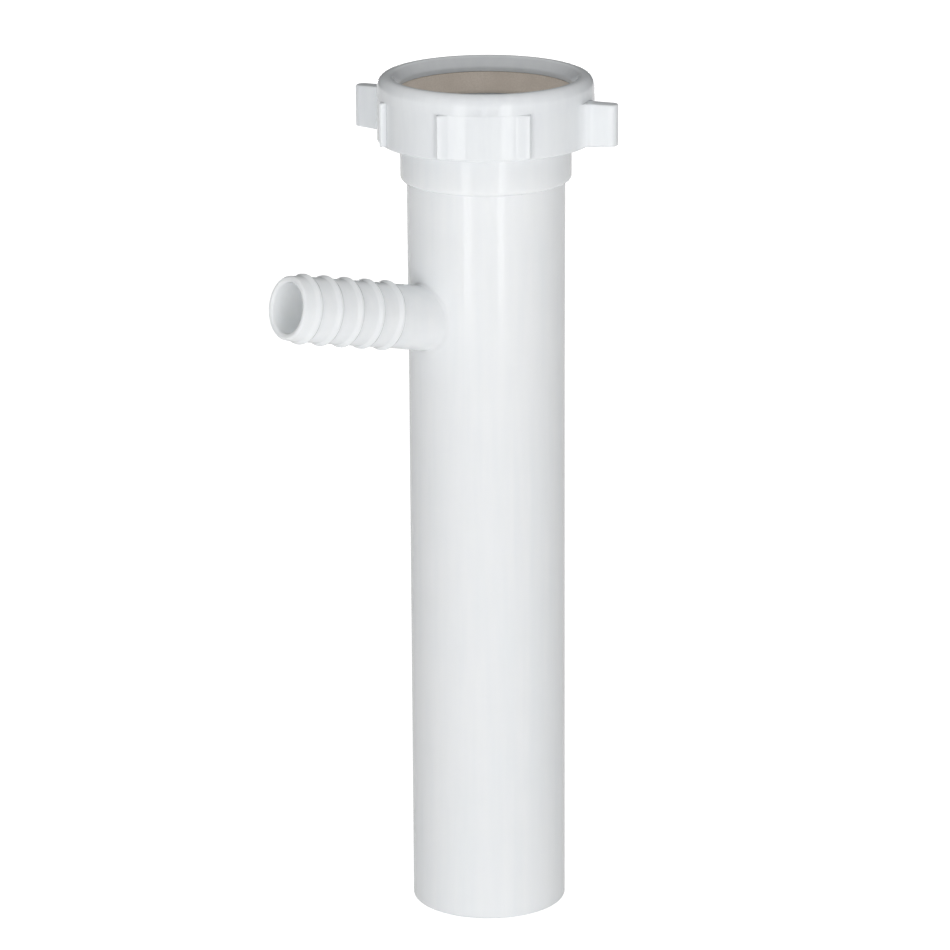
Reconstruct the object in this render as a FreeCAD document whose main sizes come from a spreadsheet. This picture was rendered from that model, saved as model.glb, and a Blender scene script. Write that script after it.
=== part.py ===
import FreeCAD, Part
import math
import os

import Sketcher

# Slip-joint tail pipe for a basin waste: a straight tube with a socketed, threaded head, a tilted
# hose branch with barbs, a winged slip nut and a bevelled sealing washer. Millimetres and degrees.
# The origin is the centre of the tube's lower end, +Z runs up the tube and the branch points to -X.

DIMENSIONS = [
    # tube
    ("tube_od", 38.1),
    ("tube_wall", 2.0),
    ("body_length", 203.2),
    ("end_chamfer", 0.6),
    ("neck_run", 12.0),
    ("neck_taper", 0.3),
    # head of the tube: socket, conical seat, collar and thread core
    ("socket_clearance", 0.6),
    ("socket_depth", 16.8),
    ("seat_depth", 2.2),
    ("collar_wall", 1.4),
    ("collar_drop", 18.7),
    ("collar_chamfer", 1.2),
    ("core_wall", 2.95),
    ("thread_length", 8.2),
    ("thread_chamfer", 0.4),
    # hose branch, measured along its own axis
    ("branch_drop", 54.8),
    ("branch_tilt", 12.3),
    ("branch_length", 41.0),
    ("branch_od", 15.7),
    ("branch_wall", 1.7),
    ("branch_root_round", 1.2),
    ("tip_inset", 0.2),
    ("tip_chamfer", 0.5),
    ("barb_count", 5),
    ("barb_pitch", 6.1),
    ("barb_height", 0.58),
    ("barb_first", 3.75),
    ("barb_land", 0.7),
    ("barb_back", 0.7),
    # bevelled washer
    ("washer_clearance", 0.8),
    ("washer_play", 0.8),
    ("washer_thickness", 4.6),
    ("washer_nose", 0.4),
    ("seat_clearance", 0.2),
    # slip nut: flange, round band and skirt
    ("washer_gap", 0.2),
    ("thread_depth", 1.3),
    ("nut_wall", 2.65),
    ("nut_height", 16.0),
    ("nut_flange", 3.5),
    ("nut_hole_clearance", 3.9),
    ("hole_chamfer", 2.4),
    ("nut_lead_in", 0.6),
    ("band_height", 4.85),
    ("band_round", 1.9),
    ("skirt_inset", 0.3),
    ("skirt_chamfer", 0.5),
    # grip lugs with flared ends, and the wings
    ("lug_count", 4),
    ("lug_angle", 48.6),
    ("lug_low", 0.5),
    ("flare_angle", 9.5),
    ("flare_height", 1.7),
    ("flare_radius", 6.4),
    ("wing_count", 2),
    ("wing_lag", 21.0),
    ("wing_reach", 7.7),
    ("wing_thickness", 4.0),
    ("wing_tip_round", 1.7),
    ("wing_root_round", 3.0),
    ("wing_low", 0.6),
    ("nut_rest_angle", -37.5),
]

# Radii and levels that several outlines share, as expressions of the sheet's cells
TUBE_R = "(dims.tube_od / 2)"
TUBE_BORE_R = f"({TUBE_R} - dims.tube_wall)"
NECK_R = f"({TUBE_R} + dims.neck_taper / 2)"
SOCKET_R = f"({TUBE_R} + dims.socket_clearance / 2)"
COLLAR_R = f"({SOCKET_R} + dims.collar_wall)"
CORE_R = f"({SOCKET_R} + dims.core_wall)"
COLLAR_LOW = "(dims.body_length - dims.collar_drop)"
THREAD_LOW = "(dims.body_length - dims.thread_length)"
SOCKET_LOW = "(dims.body_length - dims.socket_depth)"
SEAT_LOW = "(dims.body_length - dims.seat_depth)"
BRANCH_LEVEL = "(dims.body_length - dims.branch_drop)"
BRANCH_REACH = f"({TUBE_R} + dims.branch_length)"
BRANCH_R = "(dims.branch_od / 2)"
BRANCH_BORE_R = f"({BRANCH_R} - dims.branch_wall)"
BARB_R = f"({BRANCH_R} + dims.barb_height)"
TIP_R = f"({BRANCH_R} - dims.tip_inset)"
NUT_BORE_R = f"({CORE_R} + dims.thread_depth)"
NUT_HOLE_R = f"({TUBE_R} + dims.nut_hole_clearance / 2)"
BAND_R = f"({NUT_BORE_R} + dims.nut_wall)"
BAND_LOW = "(dims.nut_height - dims.band_height)"
SKIRT_R = f"({BAND_R} - dims.skirt_inset)"
WALL_MIDDLE_R = f"(({NUT_BORE_R} + {SKIRT_R}) / 2)"
WING_R = f"({BAND_R} + dims.wing_reach)"
WASHER_R = f"({NUT_BORE_R} - dims.washer_play)"
WASHER_BORE_R = f"({TUBE_R} + dims.washer_clearance / 2)"
WASHER_NOSE_R = f"({WASHER_BORE_R} + dims.washer_nose)"
WASHER_LOW = f"({SEAT_LOW} + {WASHER_NOSE_R} - {SOCKET_R} + dims.seat_clearance * sqrt(2))"
FLANGE_LOW = f"({WASHER_LOW} + dims.washer_thickness + dims.washer_gap)"
NUT_LOW = f"({FLANGE_LOW} + dims.nut_flange - dims.nut_height)"

doc = FreeCAD.newDocument("tail_pipe")
sheet = doc.addObject("Spreadsheet::Sheet", "dims")
for row, (alias, value) in enumerate(DIMENSIONS, start=1):
    sheet.set(f"A{row}", alias)
    sheet.set(f"B{row}", str(value))
    sheet.setAlias(f"B{row}", alias)
doc.recompute()


def new_body(name):
    body = doc.addObject("PartDesign::Body", name)
    body.Label = name
    return body


def origin_feature(body, role):
    return next(feature for feature in body.Origin.OriginFeatures if feature.Role == role)


def number(owner, expression):
    """Present value of an expression of the sheet's cells."""
    return float(owner.evalExpression(expression))


def turnable_placement():
    """Placement whose axis of rotation is Z, so that its angle can follow the sheet."""
    return FreeCAD.Placement(FreeCAD.Vector(), FreeCAD.Rotation(FreeCAD.Vector(0, 0, 1), 1))


def new_sketch(body, name, plane, shift=None, turn="0"):
    """Sketch on an origin plane, shifted along the plane's own axes and turned in the plane."""
    sketch = body.newObject("Sketcher::SketchObject", name)
    sketch.AttachmentSupport = [(origin_feature(body, plane), "")]
    sketch.MapMode = "FlatFace"
    sketch.AttachmentOffset = turnable_placement()
    sketch.setExpression("AttachmentOffset.Rotation.Angle", turn)
    for axis, expression in (shift or {}).items():
        sketch.setExpression(f"AttachmentOffset.Base.{axis}", expression)
    return sketch


def arc_between(start, end, radius, turn):
    """Arc of less than half a circle; turn is 1 for anticlockwise and -1 for clockwise."""
    chord = end - start
    side = FreeCAD.Vector(-chord.y, chord.x, 0).normalize() * turn
    centre = (start + end) / 2 + side * math.sqrt(radius ** 2 - (chord.Length / 2) ** 2)
    first, last = (start, end) if turn > 0 else (end, start)
    angles = [math.atan2(point.y - centre.y, point.x - centre.x) for point in (first, last)]
    if angles[1] < angles[0]:
        angles[1] += 2 * math.pi
    return Part.ArcOfCircle(Part.Circle(centre, FreeCAD.Vector(0, 0, 1), radius), *angles)


def hold(sketch, kind, axis, curve, end, expression):
    """Holds one end of a curve at a coordinate that follows the sheet, or on an axis where it is 0."""
    if expression == "0":
        sketch.addConstraint(Sketcher.Constraint("PointOnObject", curve, end, axis))
        return
    value = number(sketch, expression)
    index = sketch.addConstraint(Sketcher.Constraint(kind, -1, 1, curve, end, value))
    sketch.setExpression(f"Constraints[{index}]", expression)


def outline(sketch, corners):
    """Closed outline through corners (x, y), or (x, y, radius, turn) where an arc leads to the corner."""
    points = [FreeCAD.Vector(number(sketch, corner[0]), number(sketch, corner[1])) for corner in corners]
    curves = []
    for here, corner in enumerate(corners):
        start, end = points[here - 1], points[here]
        if len(corner) == 2:
            curve = sketch.addGeometry(Part.LineSegment(start, end))
            curves.append((curve, 1, 2))
            continue
        radius, turn = corner[2:]
        curve = sketch.addGeometry(arc_between(start, end, number(sketch, radius), turn))
        curves.append((curve, 1, 2) if turn > 0 else (curve, 2, 1))
        index = sketch.addConstraint(Sketcher.Constraint("Radius", curve, number(sketch, radius)))
        sketch.setExpression(f"Constraints[{index}]", radius)
    for here, (curve, begin, finish) in enumerate(curves):
        before, _, before_finish = curves[here - 1]
        sketch.addConstraint(Sketcher.Constraint("Coincident", before, before_finish, curve, begin))
        hold(sketch, "DistanceX", -2, curve, finish, corners[here][0])
        hold(sketch, "DistanceY", -1, curve, finish, corners[here][1])


def turned(body, name, kind, sketch, axis):
    """Full-turn Revolution or Groove of a sketch about one of the sketch's axes."""
    feature = body.newObject(f"PartDesign::{kind}", name)
    feature.Profile = sketch
    feature.ReferenceAxis = (sketch, [axis])
    feature.Angle = 360
    sketch.Visibility = False
    doc.recompute()
    return feature


def padded(body, name, sketch, length):
    feature = body.newObject("PartDesign::Pad", name)
    feature.Profile = sketch
    feature.setExpression("Length", length)
    doc.recompute()
    return feature


def repeated(body, name, feature, count):
    """Copies of a feature, evenly spaced round the body's Z axis."""
    pattern = body.newObject("PartDesign::PolarPattern", name)
    pattern.Originals = [feature]
    pattern.Axis = (origin_feature(body, "Z_Axis"), [""])
    pattern.Angle = 360
    pattern.setExpression("Occurrences", count)
    body.Tip = pattern
    doc.recompute()
    return pattern


def cut_by(body, name, sketch, axis):
    """Groove that has to take material away."""
    before = body.Shape.Volume
    groove = turned(body, name, "Groove", sketch, axis)
    if body.Shape.Volume >= before:
        raise RuntimeError(f"{name} cuts nothing")
    return groove


def barb_corners(sketch):
    """Outline of the branch from its tip inwards: a chamfer, then a cone, land and back for each barb."""
    corners = [
        (BRANCH_REACH, f"{TIP_R} - dims.tip_chamfer"),
        (f"{BRANCH_REACH} - dims.tip_chamfer", TIP_R),
    ]
    for barb in range(int(number(sketch, "dims.barb_count"))):
        crest = f"{BRANCH_REACH} - dims.barb_first - {barb} * dims.barb_pitch"
        corners.append((crest, BARB_R))
        corners.append((f"{crest} - dims.barb_land", BARB_R))
        corners.append((f"{crest} - dims.barb_land - dims.barb_back", BRANCH_R))
    return corners


def branch_root_edges(shape, sketch):
    """Names of the edges where the plain run of the branch meets the tube."""
    axis = sketch.Placement.Rotation.multVec(FreeCAD.Vector(1, 0, 0))
    base = sketch.Placement.Base
    radius = number(sketch, BRANCH_R)
    reach = number(sketch, TUBE_R) + number(sketch, BRANCH_R)
    names = []
    for index, edge in enumerate(shape.Edges, start=1):
        points = edge.discretize(9)
        gaps = [abs((point - base).cross(axis).Length - radius) for point in points]
        nearest = max((point - base).dot(axis) for point in points)
        if max(gaps) < radius / 100 and edge.Curve.TypeId != "Part::GeomLine" and nearest < reach:
            names.append(f"Edge{index}")
    return names


def make_tailpiece():
    """Tube, head and hose branch, moulded as one piece."""
    body = new_body("tailpiece_body")
    outside = new_sketch(body, "tube_outline", "XZ_Plane")
    outline(outside, [
        ("0", "0"),
        (f"{TUBE_R} - dims.end_chamfer", "0"),
        (TUBE_R, "dims.end_chamfer"),
        (TUBE_R, f"{BRANCH_LEVEL} - dims.neck_run"),
        (NECK_R, COLLAR_LOW),
        (f"{COLLAR_R} - dims.collar_chamfer", COLLAR_LOW),
        (COLLAR_R, f"{COLLAR_LOW} + dims.collar_chamfer"),
        (COLLAR_R, f"{THREAD_LOW} - ({CORE_R} - {COLLAR_R})"),
        (CORE_R, THREAD_LOW),
        (CORE_R, "dims.body_length - dims.thread_chamfer"),
        (f"{CORE_R} - dims.thread_chamfer", "dims.body_length"),
        ("0", "dims.body_length"),
    ])
    turned(body, "tube", "Revolution", outside, "V_Axis")

    tilt = "180 - dims.branch_tilt"
    lift = {"y": BRANCH_LEVEL}
    barbs = new_sketch(body, "branch_outline", "XZ_Plane", lift, tilt)
    outline(barbs, [("0", "0"), (BRANCH_REACH, "0")] + barb_corners(barbs) + [("0", BRANCH_R)])
    turned(body, "branch", "Revolution", barbs, "H_Axis")

    root = body.newObject("PartDesign::Fillet", "branch_root")
    root.Base = (body.getObject("branch"), branch_root_edges(body.Shape, barbs))
    root.setExpression("Radius", "dims.branch_root_round")
    doc.recompute()

    waterway = new_sketch(body, "waterway_outline", "XZ_Plane")
    outline(waterway, [
        ("0", "0"),
        (TUBE_BORE_R, "0"),
        (TUBE_BORE_R, SOCKET_LOW),
        (SOCKET_R, SOCKET_LOW),
        (SOCKET_R, SEAT_LOW),
        (f"{SOCKET_R} + dims.seat_depth", "dims.body_length"),
        ("0", "dims.body_length"),
    ])
    cut_by(body, "waterway", waterway, "V_Axis")

    hose_bore = new_sketch(body, "hose_bore_outline", "XZ_Plane", lift, tilt)
    outline(hose_bore, [
        ("0", "0"),
        (BRANCH_REACH, "0"),
        (BRANCH_REACH, BRANCH_BORE_R),
        ("0", BRANCH_BORE_R),
    ])
    cut_by(body, "hose_bore", hose_bore, "H_Axis")
    return body


def make_washer():
    """Bevelled washer: its cone lies in the conical mouth of the socket."""
    body = new_body("bevel_washer")
    section = new_sketch(body, "washer_section", "XZ_Plane")
    outline(section, [
        (WASHER_BORE_R, "0"),
        (WASHER_NOSE_R, "0"),
        (WASHER_R, f"{WASHER_R} - {WASHER_NOSE_R}"),
        (WASHER_R, "dims.washer_thickness"),
        (WASHER_BORE_R, "dims.washer_thickness"),
    ])
    turned(body, "washer", "Revolution", section, "V_Axis")
    body.setExpression("Placement.Base.z", WASHER_LOW)
    return body


def lug_corners():
    """Plan of a grip lug: flush with the band in the middle, with both ends flared outwards."""
    end = "(dims.lug_angle / 2)"
    flush = "(dims.lug_angle / 2 - dims.flare_angle)"
    crest_r = f"({BAND_R} + dims.flare_height)"
    return [
        (f"{WALL_MIDDLE_R} * cos({end})", f"-{WALL_MIDDLE_R} * sin({end})", WALL_MIDDLE_R, -1),
        (f"{crest_r} * cos({end})", f"-{crest_r} * sin({end})"),
        (f"{BAND_R} * cos({flush})", f"-{BAND_R} * sin({flush})", "dims.flare_radius", -1),
        (f"{BAND_R} * cos({flush})", f"{BAND_R} * sin({flush})", BAND_R, 1),
        (f"{crest_r} * cos({end})", f"{crest_r} * sin({end})", "dims.flare_radius", -1),
        (f"{WALL_MIDDLE_R} * cos({end})", f"{WALL_MIDDLE_R} * sin({end})"),
    ]


def wing_corners():
    """Plan of a wing along +X: a plate with a rounded tip that blends into the skirt on both sides."""
    half = "(dims.wing_thickness / 2)"
    blend = "dims.wing_root_round"
    blend_x = f"sqrt(({SKIRT_R} + {blend}) ^ 2 - ({half} + {blend}) ^ 2)"
    share = f"{SKIRT_R} / ({SKIRT_R} + {blend})"
    foot_x = f"{blend_x} * {share}"
    foot_y = f"({half} + {blend}) * {share}"
    tip_round = "dims.wing_tip_round"
    return [
        (WALL_MIDDLE_R, f"-{foot_y}"),
        (foot_x, f"-{foot_y}"),
        (blend_x, f"-{half}", blend, -1),
        (f"{WING_R} - {tip_round}", f"-{half}"),
        (WING_R, f"{tip_round} - {half}", tip_round, 1),
        (WING_R, f"{half} - {tip_round}"),
        (f"{WING_R} - {tip_round}", half, tip_round, 1),
        (blend_x, half),
        (foot_x, foot_y, blend, -1),
        (WALL_MIDDLE_R, foot_y),
    ]


def make_nut():
    """Slip nut: flange with a bevelled hole, round band, skirt over the thread, grip lugs and two wings."""
    body = new_body("slip_nut")
    section = new_sketch(body, "nut_section", "XZ_Plane")
    outline(section, [
        (NUT_BORE_R, "dims.nut_lead_in"),
        (f"{NUT_BORE_R} + dims.nut_lead_in", "0"),
        (f"{SKIRT_R} - dims.skirt_chamfer", "0"),
        (SKIRT_R, "dims.skirt_chamfer"),
        (SKIRT_R, BAND_LOW),
        (BAND_R, BAND_LOW),
        (BAND_R, "dims.nut_height - dims.band_round"),
        (f"{BAND_R} - dims.band_round", "dims.nut_height", "dims.band_round", 1),
        (f"{NUT_HOLE_R} + dims.hole_chamfer", "dims.nut_height"),
        (NUT_HOLE_R, "dims.nut_height - dims.hole_chamfer"),
        (NUT_HOLE_R, "dims.nut_height - dims.nut_flange"),
        (NUT_BORE_R, "dims.nut_height - dims.nut_flange"),
    ])
    turned(body, "nut_ring", "Revolution", section, "V_Axis")

    lug_plan = new_sketch(body, "lug_plan", "XY_Plane", {"z": "dims.lug_low"})
    outline(lug_plan, lug_corners())
    lug = padded(body, "lug", lug_plan, f"{BAND_LOW} - dims.lug_low")
    repeated(body, "lugs", lug, "dims.lug_count")

    wing_plan = new_sketch(body, "wing_plan", "XY_Plane", {"z": "dims.wing_low"}, "-dims.wing_lag")
    outline(wing_plan, wing_corners())
    wing = padded(body, "wing", wing_plan, f"{BAND_LOW} - dims.wing_low")
    repeated(body, "wings", wing, "dims.wing_count")

    body.Placement = turnable_placement()
    body.setExpression("Placement.Base.z", NUT_LOW)
    body.setExpression("Placement.Rotation.Angle", "dims.nut_rest_angle")
    return body


def check(bodies):
    """Stops unless every object of the document built and every sub-part is one valid solid."""
    for item in doc.Objects:
        if {"Invalid", "Error"} & set(item.State):
            raise RuntimeError(f"{item.Name} failed: {item.State}")
    for body in bodies:
        shape = body.Shape
        if shape.isNull() or not shape.isValid() or len(shape.Solids) != 1:
            raise RuntimeError(f"{body.Label} is not one valid solid")


bodies = [make_tailpiece(), make_washer(), make_nut()]
doc.recompute()
check(bodies)
os.makedirs("parts", exist_ok=True)
for body in bodies:
    body.Shape.exportStep(f"parts/{body.Label}.step")
    box = body.Shape.BoundBox
    print(f"{body.Label}: {body.Shape.Volume:.1f} mm3, z {box.ZMin:.3f} to {box.ZMax:.3f}")
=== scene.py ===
import math

import bmesh
import bpy
from mathutils import Matrix, Vector


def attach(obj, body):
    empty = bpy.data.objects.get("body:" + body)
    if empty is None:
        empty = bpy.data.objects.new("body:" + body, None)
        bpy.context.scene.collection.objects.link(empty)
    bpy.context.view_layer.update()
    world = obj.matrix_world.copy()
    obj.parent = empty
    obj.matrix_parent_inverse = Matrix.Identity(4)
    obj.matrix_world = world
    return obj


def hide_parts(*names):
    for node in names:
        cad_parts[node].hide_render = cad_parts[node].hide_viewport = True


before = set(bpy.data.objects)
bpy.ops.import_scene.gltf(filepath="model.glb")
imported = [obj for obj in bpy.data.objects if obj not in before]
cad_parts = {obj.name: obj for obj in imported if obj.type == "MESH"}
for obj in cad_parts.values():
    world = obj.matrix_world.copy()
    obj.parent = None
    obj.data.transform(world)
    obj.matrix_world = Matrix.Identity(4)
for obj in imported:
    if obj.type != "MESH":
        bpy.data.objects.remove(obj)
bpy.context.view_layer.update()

# Sizes in millimetres and degrees: the CAD model's, with the finer edges that the photograph shows
MM = 0.001
TUBE_R = 19.05
TUBE_END_ROUND = 0.6
TUBE_BORE_R = 17.05
TUBE_BORE_ROUND = 0.3
BODY_LENGTH = 203.2
NECK_START = 136.4
NECK_R = 19.2
COLLAR_LOW = 184.5
COLLAR_R = 20.75
COLLAR_FOOT_ROUND = 0.3
COLLAR_ROUND = 1.2
COLLAR_TOP_ROUND = 0.6
THREAD_LOW = 195.0
CORE_R = 22.3
CORE_FOOT_ROUND = 0.5
MOUTH_ROUND = 0.35
SOCKET_R = 19.35
SOCKET_LOW = 186.4
SOCKET_FOOT_ROUND = 0.4
SEAT_DEPTH = 2.2
SEAT_TOP_ROUND = 0.2
SEAT_FOOT_ROUND = 0.6

# Hose branch: along its axis from the tube's axis, and round that axis
BRANCH_LEVEL = 148.4
BRANCH_TILT = math.radians(12.3)
BRANCH_START = 24.0
BRANCH_REACH = 60.01
BRANCH_R = 7.85
BRANCH_BORE_R = 6.15
BRANCH_ROOT_ROUND = 0.9
BRANCH_INLET_ROUND = 0.4
BARB_COUNT = 5
BARB_PITCH = 6.1
BARB_FIRST = 4.01
BARB_R = 8.43
BARB_ROUND = 0.6
BARB_LAND = 0.4
BARB_BACK = 0.9
BARB_BACK_ROUND = 0.5
BARB_VALLEY_R = 7.72
BARB_VALLEY_ROUND = 0.8
BARB_RING = 1.05
BARB_RING_HEIGHT = 0.53
BARB_RING_ROUND = 1.0
TIP_R = 7.65
TIP_BEVEL = 0.5
TIP_BEVEL_DEPTH = 0.4
TIP_BEVEL_ROUND = 0.4
TIP_ROUND = 0.3
TIP_BORE_ROUND = 0.7

WASHER_LOW = 201.483
WASHER_THICKNESS = 4.98
WASHER_R = 22.8
WASHER_EDGE_ROUND = 0.3
WASHER_BORE_R = 19.45
WASHER_BORE_ROUND = 1.0
WASHER_NOSE_R = 19.55
WASHER_NOSE_ROUND = 0.05
WASHER_BEVEL = 1.6
WASHER_BEVEL_DEPTH = 4.3

# Nut: heights above its lower edge
NUT_LOW = 194.083
NUT_HEIGHT = 15.98
NUT_FLANGE = 3.55
NUT_REST_ANGLE = -37.5
NUT_HOLE_R = 21.0
HOLE_BEVEL = 1.8
HOLE_BEVEL_DEPTH = 2.4
HOLE_ROUND = 1.0
HOLE_FOOT_ROUND = 0.15
NUT_BORE_R = 23.6
BORE_TOP_ROUND = 0.4
BORE_MOUTH = 0.6
BORE_MOUTH_ROUND = 0.2
BORE_FOOT_ROUND = 0.15
BAND_R = 26.23
BAND_LOW = 11.15
BAND_ROUND = 2.5
SKIRT_R = 25.93
SKIRT_ROUND = 0.45
LUG_COUNT = 4
LUG_ANGLE = 48.6
LUG_LOW = 0.55
LUG_ROUND = 0.35
LUG_PROUD = 0.05
LUG_SUNK = 1.2
LUG_DRAFT = 0.2
LUG_MARGIN = 1.0
LUG_TOP_STEP = 0.02
LUG_ROUND_RUN = 0.5
FLARE_ANGLE = 7.5
FLARE_HEIGHT = 1.58
FLARE_POWER = 2.2
FLARE_ROUND = 0.4
GROOVE_ANGLE = 1.2
GROOVE_DEPTH = 0.45
WING_COUNT = 2
WING_LAG = 21.0
WING_SPAN = 15.0
WING_SUNK = 1.0
WING_R = 33.92
WING_HALF = 2.0
WING_TIP_ROUND = 1.7
WING_ROOT_ROUND = 3.0
WING_LIFT = 0.5
WING_LIFT_RUN = 5.0

THREAD_PITCH = 25.4 / 11.5
THREAD_HEIGHT = 1.1
THREAD_ROOT = 1.5
THREAD_CREST = 0.5
THREAD_STAND = 0.4
THREAD_START = 195.9
PIPE_TURNS = 3.1
NUT_TURNS = 4.0
RUN_OUT_SHARE = 0.1
RUN_OUT_SCALE = 0.05

# Fineness of the meshes
SEGMENTS = 192
ARC_STEP = math.radians(12)
SUPPORT = 0.05
SHARP_ANGLE = math.radians(35)
PATCH_STEPS = 4
TURN_STEPS = 6
CORNER_PULL = 1.4
PLAN_STEPS = 6000
PLAN_TOLERANCE = 0.008
PLAN_SPACING = 1.5
THREAD_STEPS = 96.0


def rounded(corners):
    """Points of a closed outline through corners (x, y, radius), each rounded.

    A point just past either end of an arc keeps the flat face beside it flat in smooth shading.
    """
    points = []
    for here, (x, y, radius) in enumerate(corners):
        corner = Vector((x, y))
        if not radius:
            points.append(corner)
            continue
        before = (Vector(corners[here - 1][:2]) - corner).normalized()
        after = (Vector(corners[(here + 1) % len(corners)][:2]) - corner).normalized()
        half = before.angle(after) / 2
        centre = corner + (before + after).normalized() * radius / math.sin(half)
        start = corner + before * radius / math.tan(half) - centre
        end = corner + after * radius / math.tan(half) - centre
        first = math.atan2(start.y, start.x)
        swing = (math.atan2(end.y, end.x) - first + math.pi) % (2 * math.pi) - math.pi
        steps = max(2, math.ceil(abs(swing) / ARC_STEP))
        points.append(centre + start + before * SUPPORT)
        for step in range(steps + 1):
            angle = first + swing * step / steps
            points.append(centre + Vector((math.cos(angle), math.sin(angle))) * radius)
        points.append(centre + end + after * SUPPORT)
    return points


def new_piece(name, points, faces, material):
    """Smooth closed mesh from points in millimetres, with outward normals."""
    mesh = bpy.data.meshes.new(name)
    mesh.from_pydata([Vector(point) * MM for point in points], [], faces)
    shell = bmesh.new()
    shell.from_mesh(mesh)
    bmesh.ops.recalc_face_normals(shell, faces=shell.faces)
    shell.to_mesh(mesh)
    shell.free()
    mesh.shade_smooth()
    mesh.set_sharp_from_angle(angle=SHARP_ANGLE)
    mesh.materials.append(material)
    piece = bpy.data.objects.new(name, mesh)
    bpy.context.scene.collection.objects.link(piece)
    return piece


def skin(rings, closed):
    """Quads between neighbouring rings of vertex numbers, each ring running round once."""
    faces = []
    pairs = zip(rings, rings[1:] + rings[:1]) if closed else zip(rings, rings[1:])
    for lower, upper in pairs:
        for here in range(len(lower)):
            after = (here + 1) % len(lower)
            faces.append((lower[here], lower[after], upper[after], upper[here]))
    return faces


def ring_numbers(rows, count):
    """Vertex numbers of rings that follow one another, each with the same count of points."""
    return [list(range(row * count, (row + 1) * count)) for row in range(rows)]


def polar(radius, angle, height):
    """Point at a radius, an angle in radians and a height."""
    return Vector((radius * math.cos(angle), radius * math.sin(angle), height))


def revolved(section):
    """Points of a section (radius, height) turned round the pipe's axis, ring by ring."""
    angles = [2 * math.pi * column / SEGMENTS for column in range(SEGMENTS)]
    return [polar(spot.x, angle, spot.y) for spot in section for angle in angles]


# Materials, with the sizes of their patterns in millimetres

STREAK_WIDTH = 2.2
CLOUD_SIZE = 28.0
PEEL_SIZE = 0.7
SCATTER_DEPTH = 4.0
FILLER_CLOUD_SIZE = 6.0
FILLER_SPECK_SIZE = 0.35
NOISE_LOW = 0.3
NOISE_HIGH = 0.7


def srgb(code):
    """Linear colour of an sRGB hex code."""
    values = [int(code[place:place + 2], 16) / 255 for place in (1, 3, 5)]
    linear = [value / 12.92 if value <= 0.04045 else ((value + 0.055) / 1.055) ** 2.4 for value in values]
    return (*linear, 1.0)


def add(tree, kind, values=None, **settings):
    """Adds a node, sets its properties, and sets or links its inputs."""
    item = tree.nodes.new(kind)
    for key, value in settings.items():
        setattr(item, key, value)
    for key, value in (values or {}).items():
        if isinstance(value, bpy.types.NodeSocket):
            tree.links.new(value, item.inputs[key])
        else:
            item.inputs[key].default_value = value
    return item


def new_material(name):
    """Material with an empty node tree, and its output."""
    material = bpy.data.materials.new(name)
    material.use_nodes = True
    tree = material.node_tree
    tree.nodes.clear()
    return material, tree, add(tree, "ShaderNodeOutputMaterial")


def moulded_plastic(name, pale, deep, streak_length, gloss, subsurface):
    """Injection-moulded white plastic: glossy and a little translucent.

    It has faint flow streaks up the part, soft clouds and a fine orange peel in its reflections.
    """
    material, tree, output = new_material(name)
    place = add(tree, "ShaderNodeTexCoord").outputs["Object"]
    stretched = add(tree, "ShaderNodeMapping", {
        "Vector": place, "Scale": (1.0, 1.0, 1 / streak_length),
    }).outputs["Vector"]
    streaks = add(tree, "ShaderNodeTexNoise", {
        "Vector": stretched, "Scale": 1 / (STREAK_WIDTH * MM), "Detail": 3.0,
    }).outputs["Fac"]
    clouds = add(tree, "ShaderNodeTexNoise", {
        "Vector": place, "Scale": 1 / (CLOUD_SIZE * MM), "Detail": 2.0,
    }).outputs["Fac"]
    peel = add(tree, "ShaderNodeTexNoise", {
        "Vector": place, "Scale": 1 / (PEEL_SIZE * MM), "Detail": 2.0,
    }).outputs["Fac"]
    blend = add(tree, "ShaderNodeMath", {0: streaks, 1: clouds}, operation="ADD").outputs[0]
    share = add(tree, "ShaderNodeMapRange", {
        "Value": blend, "From Min": 0.75, "From Max": 1.25,
    }).outputs["Result"]
    colour = add(tree, "ShaderNodeMix", {
        "Factor": share, 6: srgb(deep), 7: srgb(pale),
    }, data_type="RGBA").outputs[2]
    roughness = add(tree, "ShaderNodeMapRange", {
        "Value": streaks, "From Min": NOISE_LOW, "From Max": NOISE_HIGH,
        "To Min": gloss - 0.02, "To Max": gloss + 0.03,
    }).outputs["Result"]
    ripple = add(tree, "ShaderNodeBump", {
        "Height": streaks, "Strength": 0.05, "Distance": 0.05 * MM,
    }).outputs["Normal"]
    normal = add(tree, "ShaderNodeBump", {
        "Height": peel, "Strength": 0.10, "Distance": 0.02 * MM, "Normal": ripple,
    }).outputs["Normal"]
    shader = add(tree, "ShaderNodeBsdfPrincipled", {
        "Base Color": colour,
        "Roughness": roughness,
        "Normal": normal,
        "IOR": 1.49,
        "Subsurface Weight": subsurface,
        "Subsurface Radius": (1.0, 1.0, 0.95),
        "Subsurface Scale": SCATTER_DEPTH * MM,
    })
    tree.links.new(shader.outputs["BSDF"], output.inputs["Surface"])
    return material


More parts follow.
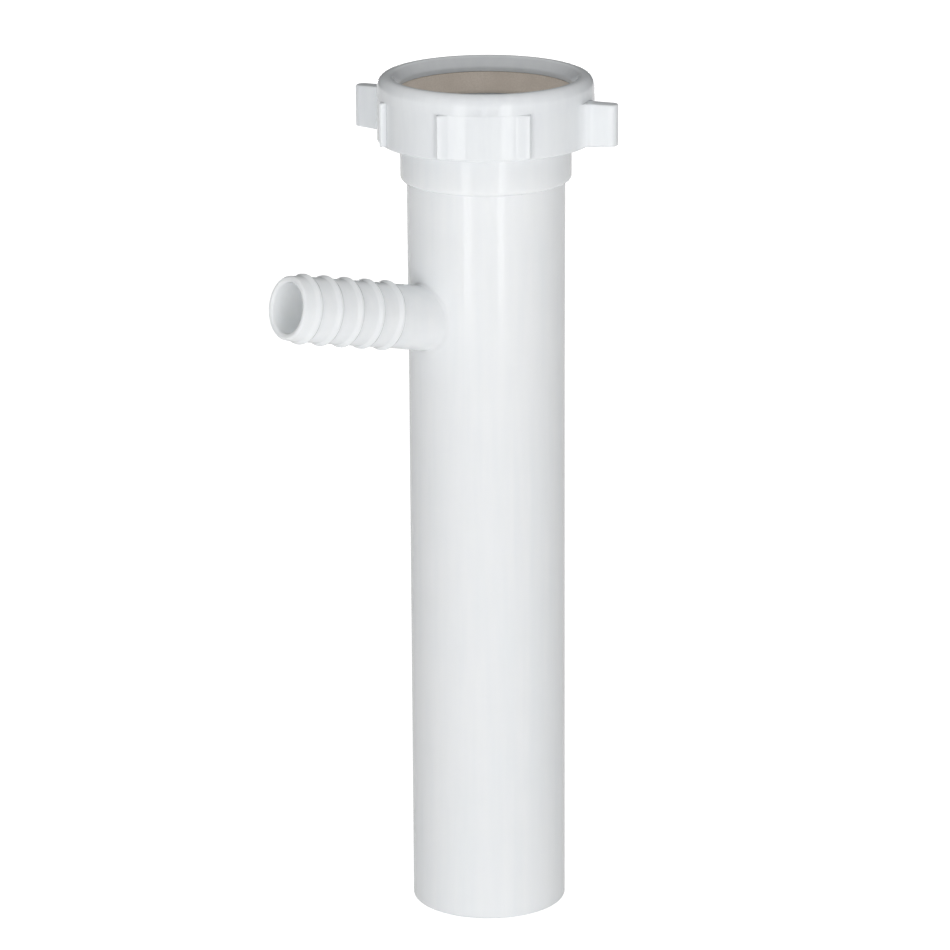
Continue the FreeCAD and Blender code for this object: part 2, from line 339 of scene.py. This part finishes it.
def moulded_rubber(name, pale, deep):
    """Moulded beige rubber: matt, with filler specks and a slightly uneven, dusty surface."""
    material, tree, output = new_material(name)
    place = add(tree, "ShaderNodeTexCoord").outputs["Object"]
    clouds = add(tree, "ShaderNodeTexNoise", {
        "Vector": place, "Scale": 1 / (FILLER_CLOUD_SIZE * MM), "Detail": 3.0,
    }).outputs["Fac"]
    specks = add(tree, "ShaderNodeTexNoise", {
        "Vector": place, "Scale": 1 / (FILLER_SPECK_SIZE * MM), "Detail": 2.0,
    }).outputs["Fac"]
    blend = add(tree, "ShaderNodeMath", {0: clouds, 1: specks}, operation="MULTIPLY").outputs[0]
    share = add(tree, "ShaderNodeMapRange", {
        "Value": blend, "From Min": 0.12, "From Max": 0.40,
    }).outputs["Result"]
    colour = add(tree, "ShaderNodeMix", {
        "Factor": share, 6: srgb(deep), 7: srgb(pale),
    }, data_type="RGBA").outputs[2]
    roughness = add(tree, "ShaderNodeMapRange", {
        "Value": clouds, "From Min": NOISE_LOW, "From Max": NOISE_HIGH, "To Min": 0.62, "To Max": 0.78,
    }).outputs["Result"]
    normal = add(tree, "ShaderNodeBump", {
        "Height": specks, "Strength": 0.25, "Distance": 0.05 * MM,
    }).outputs["Normal"]
    shader = add(tree, "ShaderNodeBsdfPrincipled", {
        "Base Color": colour,
        "Roughness": roughness,
        "Normal": normal,
        "IOR": 1.52,
    })
    tree.links.new(shader.outputs["BSDF"], output.inputs["Surface"])
    return material


pipe_white = moulded_plastic(
    "polypropylene_moulded_white", pale="#F8FCFE", deep="#F3F8FB",
    streak_length=18.0, gloss=0.08, subsurface=0.6,
)
nut_white = moulded_plastic(
    "nylon_moulded_white", pale="#EFF2F4", deep="#EAEDF0",
    streak_length=6.0, gloss=0.05, subsurface=0.2,
)
washer_beige = moulded_rubber("rubber_moulded_beige", pale="#F1E5D8", deep="#E3D6C8")


# Pipe: tube, head and hose branch as one watertight skin, joined round a square window in the tube

WINDOW_STEPS = 32
WINDOW_LOW = 141.6
WINDOW_HIGH = 163.2
WINDOW_STEP = (WINDOW_HIGH - WINDOW_LOW) / WINDOW_STEPS
WINDOW_HEIGHTS = [WINDOW_LOW + WINDOW_STEP * step for step in range(WINDOW_STEPS + 1)]
AXIS = Vector((-math.cos(BRANCH_TILT), 0, math.sin(BRANCH_TILT)))
ACROSS = Vector((0, 1, 0))
UPWARD = Vector((math.sin(BRANCH_TILT), 0, math.cos(BRANCH_TILT)))


def neck_radius(height):
    """Outer radius of the tube, which widens slightly from below the branch to the collar."""
    share = (height - NECK_START) / (COLLAR_LOW - NECK_START)
    return TUBE_R + (NECK_R - TUBE_R) * min(max(share, 0), 1)


def bore_radius(height):
    """Inner radius of the tube, the same at every height."""
    return TUBE_BORE_R


def pipe_profile():
    """Half section of the pipe from the lower end up the outside, over the mouth and down the bore."""
    top = BODY_LENGTH
    return rounded([
        (TUBE_BORE_R, 0, TUBE_BORE_ROUND),
        (TUBE_R, 0, TUBE_END_ROUND),
        (TUBE_R, NECK_START, 0),
        *((neck_radius(height), height, 0) for height in WINDOW_HEIGHTS),
        (NECK_R, COLLAR_LOW, COLLAR_FOOT_ROUND),
        (COLLAR_R, COLLAR_LOW, COLLAR_ROUND),
        (COLLAR_R, THREAD_LOW - (CORE_R - COLLAR_R), COLLAR_TOP_ROUND),
        (CORE_R, THREAD_LOW, CORE_FOOT_ROUND),
        (CORE_R, top, MOUTH_ROUND),
        (SOCKET_R + SEAT_DEPTH, top, SEAT_TOP_ROUND),
        (SOCKET_R, top - SEAT_DEPTH, SEAT_FOOT_ROUND),
        (SOCKET_R, SOCKET_LOW, SOCKET_FOOT_ROUND),
        (TUBE_BORE_R, SOCKET_LOW, SOCKET_FOOT_ROUND),
        *((bore_radius(height), height, 0) for height in reversed(WINDOW_HEIGHTS)),
    ])


def branch_profile():
    """Half section of the branch (along, radius) from its plain run over the barbs and lip to the bore."""
    corners = [(BRANCH_START, BRANCH_R, 0)]
    for barb in reversed(range(BARB_COUNT)):
        crest = BRANCH_REACH - BARB_FIRST - barb * BARB_PITCH
        corners += [
            (crest - BARB_LAND - BARB_BACK, BARB_VALLEY_R, BARB_VALLEY_ROUND),
            (crest - BARB_LAND, BARB_R, BARB_BACK_ROUND),
            (crest, BARB_R, BARB_ROUND),
            (crest + BARB_RING, BARB_R - BARB_RING_HEIGHT, BARB_RING_ROUND),
        ]
    corners += [
        (BRANCH_REACH - TIP_BEVEL, TIP_R, TIP_BEVEL_ROUND),
        (BRANCH_REACH, TIP_R - TIP_BEVEL_DEPTH, TIP_ROUND),
        (BRANCH_REACH, BRANCH_BORE_R, TIP_BORE_ROUND),
        (BRANCH_START, BRANCH_BORE_R, 0),
    ]
    return rounded(corners)


def on_branch(along, radius, angle):
    """Point of the branch at a distance along its axis, a radius and an angle round it."""
    side = ACROSS * math.cos(angle) + UPWARD * math.sin(angle)
    return Vector((0, 0, BRANCH_LEVEL)) + AXIS * along + side * radius


def meeting(radius, angle, wall):
    """Distance along the branch at which a line at this radius and angle meets a wall of the tube."""
    level = BRANCH_LEVEL
    for _ in range(4):
        across = radius * math.cos(angle)
        depth = math.sqrt(wall(level) ** 2 - across ** 2)
        along = (depth + radius * math.sin(angle) * math.sin(BRANCH_TILT)) / math.cos(BRANCH_TILT)
        level = on_branch(along, radius, angle).z
    return along


def corner_curve(start, corner, end):
    """Rounded turn from start to end, tangent to the lines towards the corner."""
    points = []
    for step in range(TURN_STEPS + 1):
        share = step / TURN_STEPS
        weights = ((1 - share) ** 2, CORNER_PULL * share * (1 - share), share ** 2)
        points.append((start * weights[0] + corner * weights[1] + end * weights[2]) / sum(weights))
    return points


def wall_patch(window_edge, ring, wall):
    """Rings on a wall of the tube between the window's edge and a ring of points on that wall."""
    rings = []
    for step in range(1, PATCH_STEPS):
        row = []
        for edge, inner in zip(window_edge, ring):
            mixed = edge.lerp(inner, step / PATCH_STEPS)
            row.append(polar(wall(mixed.z), math.atan2(mixed.y, mixed.x), mixed.z))
        rings.append(row)
    return rings


def branch_turn(angles, radius, size, wall):
    """Rings of the rounded turn between a wall of the tube and the branch's outside or bore."""
    lines = []
    for angle in angles:
        corner_at = meeting(radius, angle, wall)
        start = on_branch(meeting(radius + size, angle, wall), radius + size, angle)
        corner = on_branch(corner_at, radius, angle)
        lines.append(corner_curve(start, corner, on_branch(corner_at + size, radius, angle)))
    return [list(ring) for ring in zip(*lines)]


def make_pipe():
    """The tube with its window left open on both walls, and the branch's skin from one wall to the other."""
    profile = pipe_profile()
    points = revolved(profile)
    half = WINDOW_STEPS // 2
    columns = list(range(SEGMENTS // 2 - half, SEGMENTS // 2 + half + 1))
    heights = {round(height, 3) for height in WINDOW_HEIGHTS}
    window_rows = [row for row, spot in enumerate(profile) if round(spot.y, 3) in heights]
    mid_wall = (TUBE_R + TUBE_BORE_R) / 2
    outer_rows = [row for row in window_rows if profile[row].x > mid_wall]
    inner_rows = [row for row in reversed(window_rows) if profile[row].x < mid_wall]
    open_cells = {(row, column) for row in outer_rows[:-1] for column in columns[:-1]}
    open_cells |= {(row - 1, column) for row in inner_rows[:-1] for column in columns[:-1]}
    faces = []
    for row in range(len(profile)):
        lower = row * SEGMENTS
        upper = (row + 1) % len(profile) * SEGMENTS
        for column in range(SEGMENTS):
            if (row, column) not in open_cells:
                after = (column + 1) % SEGMENTS
                faces.append((lower + column, lower + after, upper + after, upper + column))

    def window_edge(rows):
        """Vertex numbers round the window in one wall."""
        loop = [rows[0] * SEGMENTS + column for column in columns[:-1]]
        loop += [row * SEGMENTS + columns[-1] for row in rows[:-1]]
        loop += [rows[-1] * SEGMENTS + column for column in reversed(columns[1:])]
        loop += [row * SEGMENTS + columns[0] for row in reversed(rows[1:])]
        return loop

    outer_edge, inner_edge = window_edge(outer_rows), window_edge(inner_rows)
    count = len(outer_edge)
    angles = [-math.pi / 4 - 2 * math.pi * here / count for here in range(count)]
    root = branch_turn(angles, BRANCH_R, BRANCH_ROOT_ROUND, neck_radius)
    inlet = branch_turn(angles, BRANCH_BORE_R, BRANCH_INLET_ROUND, bore_radius)
    rings = wall_patch([points[spot] for spot in outer_edge], root[0], neck_radius) + root
    rings += [[on_branch(spot.x, spot.y, angle) for angle in angles] for spot in branch_profile()]
    rings += inlet[::-1]
    rings += wall_patch([points[spot] for spot in inner_edge], inlet[0], bore_radius)[::-1]
    numbered = [outer_edge]
    for ring in rings:
        numbered.append(list(range(len(points), len(points) + count)))
        points += ring
    numbered.append(inner_edge)
    return new_piece("pipe_moulding", points, faces + skin(numbered, False), pipe_white)


# Nut: rings that follow its plan from the skirt's lower edge up to the flange and back down the bore


def radius_at(outline, angle):
    """Distance from the axis to the outermost crossing of a closed outline by a ray."""
    ray = Vector((math.cos(angle), math.sin(angle)))
    furthest = 0.0
    for here, point in enumerate(outline):
        before = outline[here - 1]
        left, right = ray.cross(before), ray.cross(point)
        if left * right <= 0 and left != right:
            spot = before.lerp(point, left / (left - right))
            furthest = max(furthest, spot.dot(ray))
    return furthest


def at(radius, degrees):
    """Place in a plan at a radius and an angle in degrees."""
    angle = math.radians(degrees)
    return radius * math.cos(angle), radius * math.sin(angle)


def lug_outline():
    """Plan of a grip lug along +X: flush with the band in the middle, with both ends flared outwards."""
    flare_steps, middle_steps = 8, 6
    end = LUG_ANGLE / 2
    flush = end - FLARE_ANGLE
    flat = BAND_R + LUG_PROUD
    left = [
        (*at(SKIRT_R - LUG_SUNK, end + LUG_DRAFT), 0),
        (*at(flat + FLARE_HEIGHT, end), FLARE_ROUND),
    ]
    for step in range(1, flare_steps + 1):
        share = step / flare_steps
        rise = FLARE_HEIGHT * (1 - share) ** FLARE_POWER
        left.append((*at(flat + rise, end - FLARE_ANGLE * share), 0))
    for step in range(1, middle_steps + 1):
        left.append((*at(flat, flush * (1 - step / middle_steps)), 0))
    right = [(x, -y, radius) for x, y, radius in reversed(left[:-1])]
    return rounded(left + right)


def wing_outline():
    """Plan of a wing along +X: a plate with a rounded tip that blends into the skirt on both sides."""
    root_steps = 8
    foot_y = WING_HALF + WING_ROOT_ROUND
    foot_x = math.sqrt((SKIRT_R + WING_ROOT_ROUND) ** 2 - foot_y ** 2)
    foot_angle = math.degrees(math.atan2(foot_y, foot_x))
    first, last = math.radians(180 + foot_angle), math.radians(270)
    left = [(*at(SKIRT_R - WING_SUNK, foot_angle), 0)]
    for step in range(root_steps + 1):
        angle = first + (last - first) * step / root_steps
        spot = Vector((foot_x, foot_y)) + Vector((math.cos(angle), math.sin(angle))) * WING_ROOT_ROUND
        left.append((spot.x, spot.y, 0))
    left.append((WING_R, WING_HALF, WING_TIP_ROUND))
    right = [(x, -y, radius) for x, y, radius in reversed(left)]
    return rounded(left + right)


def thinned(points):
    """Numbers of the points of an open line that keep it within the plan's tolerance of the full line."""
    kept = {0, len(points) - 1}
    spans = [(0, len(points) - 1)]
    while spans:
        low, high = spans.pop()
        if high - low < 2:
            continue
        chord = points[high] - points[low]
        length = chord.length
        between = range(low + 1, high)
        gaps = [(abs(chord.cross(points[spot] - points[low])) / length, spot) for spot in between]
        gap, spot = max(gaps)
        if gap > PLAN_TOLERANCE or length > PLAN_SPACING:
            kept.add(spot)
            spans += [(low, spot), (spot, high)]
    return sorted(kept)


def from_nearest(degrees, count):
    """Angle from the nearest of equally spaced copies, of which one lies along +X."""
    pitch = 360 / count
    return (degrees + pitch / 2) % pitch - pitch / 2


def nut_plans():
    """Angles round the nut, and at each the plan's radius and the rise of the wings' lower edge."""
    lug, wing = lug_outline(), wing_outline()
    radii, rises, line = [], [], []
    for step in range(PLAN_STEPS + 1):
        degrees = 360 * step / PLAN_STEPS - 180
        off_lug = from_nearest(degrees, LUG_COUNT)
        off_wing = from_nearest(degrees + WING_LAG, WING_COUNT)
        beside = abs(off_lug) - LUG_ANGLE / 2
        radius = SKIRT_R - (GROOVE_DEPTH if 0 < beside < GROOVE_ANGLE else 0)
        rise = 0
        if beside < LUG_MARGIN:
            radius = max(radius, radius_at(lug, math.radians(off_lug)))
        if abs(off_wing) < WING_SPAN:
            wing_radius = radius_at(wing, math.radians(off_wing))
            rise = WING_LIFT * min(max((wing_radius - SKIRT_R) / WING_LIFT_RUN, 0), 1)
            radius = max(radius, wing_radius)
        radii.append(radius)
        rises.append(rise)
        line.append(Vector(at(radius, degrees)))
    half = PLAN_STEPS // 2
    kept = thinned(line[:half + 1])[:-1] + [half + spot for spot in thinned(line[half:])[:-1]]
    turned = [math.radians(360 * spot / PLAN_STEPS - 180 + NUT_REST_ANGLE) for spot in kept]
    return turned, [radii[spot] for spot in kept], [rises[spot] for spot in kept]


def make_nut():
    """Skirt with its lugs and wings, band, flange with a bevelled hole, and bore."""
    angles, radii, rises = nut_plans()
    count = len(angles)
    spots = [polar(radius, angle, 0).to_2d() for radius, angle in zip(radii, angles)]
    rings = []

    def circle(radius, height):
        """Round ring at a height above the nut's lower edge."""
        rings.append([polar(radius, angle, NUT_LOW + height) for angle in angles])

    def plan(height, inset, lift):
        """Ring along the plan, drawn in by the inset wherever the plan stands out from the band."""
        ring = []
        for here, spot in enumerate(spots):
            along = (spots[(here + 1) % count] - spots[here - 1]).normalized()
            outward = Vector((along.y, -along.x))
            stand = min(max((radii[here] - BAND_R) / LUG_ROUND_RUN, 0), 1)
            moved = spot - outward * inset * stand
            ring.append(Vector((moved.x, moved.y, NUT_LOW + height + lift * rises[here])))
        rings.append(ring)

    turns = [math.radians(angle) for angle in (0, 22.5, 45, 67.5, 90)]
    for angle in turns:
        circle(SKIRT_R - SKIRT_ROUND * (1 - math.sin(angle)), SKIRT_ROUND * (1 - math.cos(angle)))
    for angle in turns:
        plan(LUG_LOW + LUG_ROUND * (1 - math.cos(angle)), LUG_ROUND * (1 - math.sin(angle)), 1)
    plan(LUG_LOW + LUG_ROUND + SUPPORT, 0, 1)
    plan(BAND_LOW - LUG_ROUND - SUPPORT, 0, 0)
    for angle in turns:
        plan(BAND_LOW - LUG_ROUND * (1 - math.sin(angle)), LUG_ROUND * (1 - math.cos(angle)), 0)
    circle(BAND_R, BAND_LOW + LUG_TOP_STEP)
    section = rounded([
        (BAND_R, NUT_HEIGHT, BAND_ROUND),
        (NUT_HOLE_R + HOLE_BEVEL, NUT_HEIGHT, HOLE_ROUND),
        (NUT_HOLE_R, NUT_HEIGHT - HOLE_BEVEL_DEPTH, HOLE_ROUND),
        (NUT_HOLE_R, NUT_HEIGHT - NUT_FLANGE, HOLE_FOOT_ROUND),
        (NUT_BORE_R, NUT_HEIGHT - NUT_FLANGE, BORE_TOP_ROUND),
        (NUT_BORE_R, BORE_MOUTH, BORE_MOUTH_ROUND),
        (NUT_BORE_R + BORE_MOUTH, 0, BORE_FOOT_ROUND),
        (BAND_R, 0, 0),
    ])
    for spot in section[:-1]:
        circle(spot.x, spot.y)
    points = [point for ring in rings for point in ring]
    return new_piece("nut_moulding", points, skin(ring_numbers(len(rings), count), True), nut_white)


def make_washer():
    """Bevelled washer with softly rounded edges, its bore opening upwards."""
    top = WASHER_LOW + WASHER_THICKNESS
    section = rounded([
        (WASHER_BORE_R, WASHER_LOW, WASHER_NOSE_ROUND),
        (WASHER_NOSE_R, WASHER_LOW, WASHER_NOSE_ROUND),
        (WASHER_R, WASHER_LOW + WASHER_R - WASHER_NOSE_R, WASHER_EDGE_ROUND),
        (WASHER_R, top, WASHER_EDGE_ROUND),
        (WASHER_BORE_R + WASHER_BEVEL, top, WASHER_EDGE_ROUND),
        (WASHER_BORE_R, top - WASHER_BEVEL_DEPTH, WASHER_BORE_ROUND),
    ])
    rings = ring_numbers(len(section), SEGMENTS)
    return new_piece("sealing_washer", revolved(section), skin(rings, True), washer_beige)


# Threads: one Geometry Nodes tree sweeps a ridge along a helix


def helix_tree():
    """Tree that sweeps a trapezoid ridge along a right-hand helix, with both ends run out."""
    tree = bpy.data.node_groups.new("helix_ridge", "GeometryNodeTree")
    tree.interface.new_socket("Geometry", in_out="OUTPUT", socket_type="NodeSocketGeometry")
    for name in (
        "Radius", "Pitch", "Turns", "Start Height", "Start Angle",
        "Root Width", "Crest Width", "Ridge Height", "Facing",
    ):
        tree.interface.new_socket(name, in_out="INPUT", socket_type="NodeSocketFloat")
    tree.interface.new_socket("Material", in_out="INPUT", socket_type="NodeSocketMaterial")
    given = tree.nodes.new("NodeGroupInput").outputs

    # Helix: a line whose points are placed round the axis
    steps = add(tree, "ShaderNodeMath", {0: given["Turns"], 1: THREAD_STEPS}, operation="MULTIPLY").outputs[0]
    line = add(tree, "GeometryNodeCurvePrimitiveLine").outputs["Curve"]
    points = add(tree, "GeometryNodeResampleCurve", {"Curve": line, "Count": steps}).outputs["Curve"]
    share = add(tree, "GeometryNodeSplineParameter").outputs["Factor"]
    turned = add(tree, "ShaderNodeMath", {0: share, 1: given["Turns"]}, operation="MULTIPLY").outputs[0]
    angle = add(tree, "ShaderNodeMath", {
        0: turned, 1: 2 * math.pi, 2: given["Start Angle"],
    }, operation="MULTIPLY_ADD").outputs[0]
    height = add(tree, "ShaderNodeMath", {
        0: turned, 1: given["Pitch"], 2: given["Start Height"],
    }, operation="MULTIPLY_ADD").outputs[0]
    cosine = add(tree, "ShaderNodeMath", {0: angle}, operation="COSINE").outputs[0]
    sine = add(tree, "ShaderNodeMath", {0: angle}, operation="SINE").outputs[0]
    x = add(tree, "ShaderNodeMath", {0: cosine, 1: given["Radius"]}, operation="MULTIPLY").outputs[0]
    y = add(tree, "ShaderNodeMath", {0: sine, 1: given["Radius"]}, operation="MULTIPLY").outputs[0]
    spot = add(tree, "ShaderNodeCombineXYZ", {"X": x, "Y": y, "Z": height}).outputs["Vector"]
    helix = add(tree, "GeometryNodeSetPosition", {"Geometry": points, "Position": spot}).outputs["Geometry"]
    upright = add(tree, "GeometryNodeSetCurveNormal", {"Curve": helix}, mode="Z_UP").outputs["Curve"]

    # Ridge: a trapezoid that shrinks towards either end
    other_end = add(tree, "ShaderNodeMath", {0: 1.0, 1: share}, operation="SUBTRACT").outputs[0]
    nearest = add(tree, "ShaderNodeMath", {0: share, 1: other_end}, operation="MINIMUM").outputs[0]
    run_out = add(tree, "ShaderNodeMapRange", {
        "Value": nearest, "From Max": RUN_OUT_SHARE, "To Min": RUN_OUT_SCALE,
    }, interpolation_type="SMOOTHSTEP").outputs["Result"]
    ridge = add(tree, "GeometryNodeCurvePrimitiveQuadrilateral", {
        "Bottom Width": given["Root Width"], "Top Width": given["Crest Width"],
        "Height": given["Ridge Height"], "Offset": 0.0,
    }, mode="TRAPEZOID").outputs["Curve"]
    facing = add(tree, "ShaderNodeCombineXYZ", {"Z": given["Facing"]}).outputs["Vector"]
    turned_ridge = add(tree, "GeometryNodeTransform", {
        "Geometry": ridge, "Rotation": facing,
    }).outputs["Geometry"]
    swept = add(tree, "GeometryNodeCurveToMesh", {
        "Curve": upright, "Profile Curve": turned_ridge, "Scale": run_out, "Fill Caps": True,
    }).outputs["Mesh"]
    real = add(tree, "GeometryNodeRealizeInstances", {"Geometry": swept}).outputs["Geometry"]
    dressed = add(tree, "GeometryNodeSetMaterial", {
        "Geometry": real, "Material": given["Material"],
    }).outputs["Geometry"]
    add(tree, "NodeGroupOutput", {"Geometry": dressed})
    return tree


def make_thread(name, tree, values):
    """Bakes the helix tree with the given inputs into a plain mesh."""
    holder = bpy.data.objects.new(name, bpy.data.meshes.new(f"{name}_base"))
    bpy.context.scene.collection.objects.link(holder)
    modifier = holder.modifiers.new("ridge", "NODES")
    modifier.node_group = tree
    for item in tree.interface.items_tree:
        if item.in_out == "INPUT":
            modifier[item.identifier] = values[item.name]
    bpy.context.view_layer.update()
    shown = holder.evaluated_get(bpy.context.evaluated_depsgraph_get())
    mesh = bpy.data.meshes.new_from_object(shown)
    holder.modifiers.clear()
    holder.data = mesh
    mesh.name = name
    return holder


pipe = make_pipe()
nut = make_nut()
washer = make_washer()
helix = helix_tree()
ridge_sizes = {
    "Pitch": THREAD_PITCH * MM,
    "Root Width": THREAD_ROOT * MM,
    "Crest Width": THREAD_CREST * MM,
    "Ridge Height": THREAD_HEIGHT * MM,
    "Start Angle": 0.0,
}
pipe_thread = make_thread("pipe_thread", helix, {
    **ridge_sizes,
    "Radius": (CORE_R + THREAD_STAND) * MM,
    "Turns": PIPE_TURNS,
    "Start Height": THREAD_START * MM,
    "Facing": -math.pi / 2,
    "Material": pipe_white,
})
nut_thread = make_thread("nut_thread", helix, {
    **ridge_sizes,
    "Radius": (NUT_BORE_R - THREAD_STAND) * MM,
    "Turns": NUT_TURNS,
    "Start Height": THREAD_START * MM - THREAD_PITCH * 0.5 * MM,
    "Facing": math.pi / 2,
    "Material": nut_white,
})

for piece, body, node in (
    (pipe, "tailpiece", "tailpiece_body"), (nut, "nut", "slip_nut"), (washer, "washer", "bevel_washer"),
):
    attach(piece, body)
    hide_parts(node)
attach(pipe_thread, "tailpiece")
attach(nut_thread, "nut")


# Floor, light and camera, in metres

VIEW_AZIMUTH = math.radians(-36)
BACK = Vector((math.sin(VIEW_AZIMUTH), -math.cos(VIEW_AZIMUTH), 0))
RIGHT = Vector((math.cos(VIEW_AZIMUTH), math.sin(VIEW_AZIMUTH), 0))
CAMERA_DISTANCE = 1.1231
CAMERA_HEIGHT = 0.4395
CAMERA_LEFT = 0.00306
CAMERA_PITCH = math.radians(16.366)
CAMERA_ROLL = math.radians(-0.31)
CAMERA_LENS = 180.04
FLOOR_HALF = 6
STRIP = {"distance": 0.62, "height": 0.20, "tall": 0.40, "mirrored": True}
PANEL = {"distance": 1.6, "height": 0.10, "tall": 0.20, "width": 0.6, "mirrored": False}


def make_floor(shine):
    """Pale floor: white to the camera with a faint soft shadow, and a matt, slightly lit bounce."""
    material, tree, output = new_material("studio_floor_white")
    camera_ray = add(tree, "ShaderNodeLightPath").outputs["Is Camera Ray"]
    glow = add(tree, "ShaderNodeEmission", {"Color": srgb("#FFFFFF"), "Strength": 0.94}).outputs["Emission"]
    catch = add(tree, "ShaderNodeBsdfDiffuse", {"Color": srgb("#8C8C8C")}).outputs["BSDF"]
    seen = add(tree, "ShaderNodeAddShader", {0: glow, 1: catch}).outputs["Shader"]
    matt = add(tree, "ShaderNodeBsdfDiffuse", {"Color": srgb("#E6E6E6")}).outputs["BSDF"]
    lit = add(tree, "ShaderNodeEmission", {"Color": srgb("#FFFFFF"), "Strength": shine}).outputs["Emission"]
    bounce = add(tree, "ShaderNodeAddShader", {0: matt, 1: lit}).outputs["Shader"]
    mixed = add(tree, "ShaderNodeMixShader", {0: camera_ray, 1: bounce, 2: seen}).outputs["Shader"]
    tree.links.new(mixed, output.inputs["Surface"])
    mesh = bpy.data.meshes.new("floor")
    corners = [(x * FLOOR_HALF, y * FLOOR_HALF, 0) for x, y in ((-1, -1), (1, -1), (1, 1), (-1, 1))]
    mesh.from_pydata(corners, [], [(0, 1, 2, 3)])
    mesh.materials.append(material)
    floor = bpy.data.objects.new("floor", mesh)
    bpy.context.scene.collection.objects.link(floor)


def make_world(front, behind, overhead):
    """White room to the camera; for light, three levels: the camera's side, the far side and overhead."""
    world = bpy.data.worlds.new("studio_room")
    bpy.context.scene.world = world
    world.use_nodes = True
    tree = world.node_tree
    tree.nodes.clear()
    direction = add(tree, "ShaderNodeTexCoord").outputs["Generated"]
    rise = add(tree, "ShaderNodeSeparateXYZ", {"Vector": direction}).outputs["Z"]
    towards = add(tree, "ShaderNodeVectorMath", {
        0: direction, 1: BACK,
    }, operation="DOT_PRODUCT").outputs["Value"]
    wall = add(tree, "ShaderNodeMapRange", {
        "Value": towards, "From Min": -0.5, "From Max": 0.7, "To Min": behind, "To Max": front,
    }, interpolation_type="SMOOTHSTEP").outputs["Result"]
    level = add(tree, "ShaderNodeMapRange", {
        "Value": rise, "From Min": 0.25, "From Max": 0.75, "To Min": wall, "To Max": overhead,
    }, interpolation_type="SMOOTHSTEP").outputs["Result"]
    white = srgb("#FFFFFF")
    room = add(tree, "ShaderNodeBackground", {"Color": white, "Strength": level}).outputs["Background"]
    backdrop = add(tree, "ShaderNodeBackground", {"Color": white, "Strength": 1.0}).outputs["Background"]
    camera_ray = add(tree, "ShaderNodeLightPath").outputs["Is Camera Ray"]
    mixed = add(tree, "ShaderNodeMixShader", {0: camera_ray, 1: room, 2: backdrop}).outputs["Shader"]
    add(tree, "ShaderNodeOutputWorld", {"Surface": mixed})


def add_light(name, side_angle, distance, height, width, tall, power, mirrored):
    """Upright soft light that faces the pipe's axis from an angle to the side of the camera."""
    angle = math.radians(side_angle)
    light = bpy.data.lights.new(name, "AREA")
    light.shape = "RECTANGLE"
    light.size = width
    light.size_y = tall
    light.energy = power
    lamp = bpy.data.objects.new(name, light)
    away = BACK * math.cos(angle) + RIGHT * math.sin(angle)
    lamp.location = away * distance + Vector((0, 0, height))
    lamp.rotation_euler = (-away).to_track_quat("-Z", "Y").to_euler()
    lamp.visible_camera = False
    lamp.visible_glossy = mirrored
    bpy.context.scene.collection.objects.link(lamp)


def make_camera():
    """Long lens at the photograph's height and angle, a little to the left of the pipe's axis."""
    data = bpy.data.cameras.new("camera")
    data.sensor_width = 36
    data.lens = CAMERA_LENS
    camera = bpy.data.objects.new("camera", data)
    location = BACK * CAMERA_DISTANCE - RIGHT * CAMERA_LEFT + Vector((0, 0, CAMERA_HEIGHT))
    ahead = (-BACK * math.cos(CAMERA_PITCH)) - Vector((0, 0, math.sin(CAMERA_PITCH)))
    level = Matrix((RIGHT, RIGHT.cross(ahead), -ahead)).transposed()
    turned = level @ Matrix.Rotation(CAMERA_ROLL, 3, "Z")
    camera.matrix_world = Matrix.Translation(location) @ turned.to_4x4()
    bpy.context.scene.collection.objects.link(camera)
    bpy.context.scene.camera = camera


make_floor(shine=0.16)
make_world(front=0.20, behind=0.0, overhead=0.65)
add_light("strip_left", side_angle=-27, width=0.13, power=0.28, **STRIP)
add_light("strip_right", side_angle=21, width=0.115, power=0.27, **STRIP)
add_light("panel_left", side_angle=-20, power=4.4, **PANEL)
add_light("panel_right", side_angle=20, power=5.0, **PANEL)
add_light("panel_back", side_angle=180, power=14.0, **PANEL)
make_camera()
bpy.context.scene.view_settings.view_transform = "Standard"
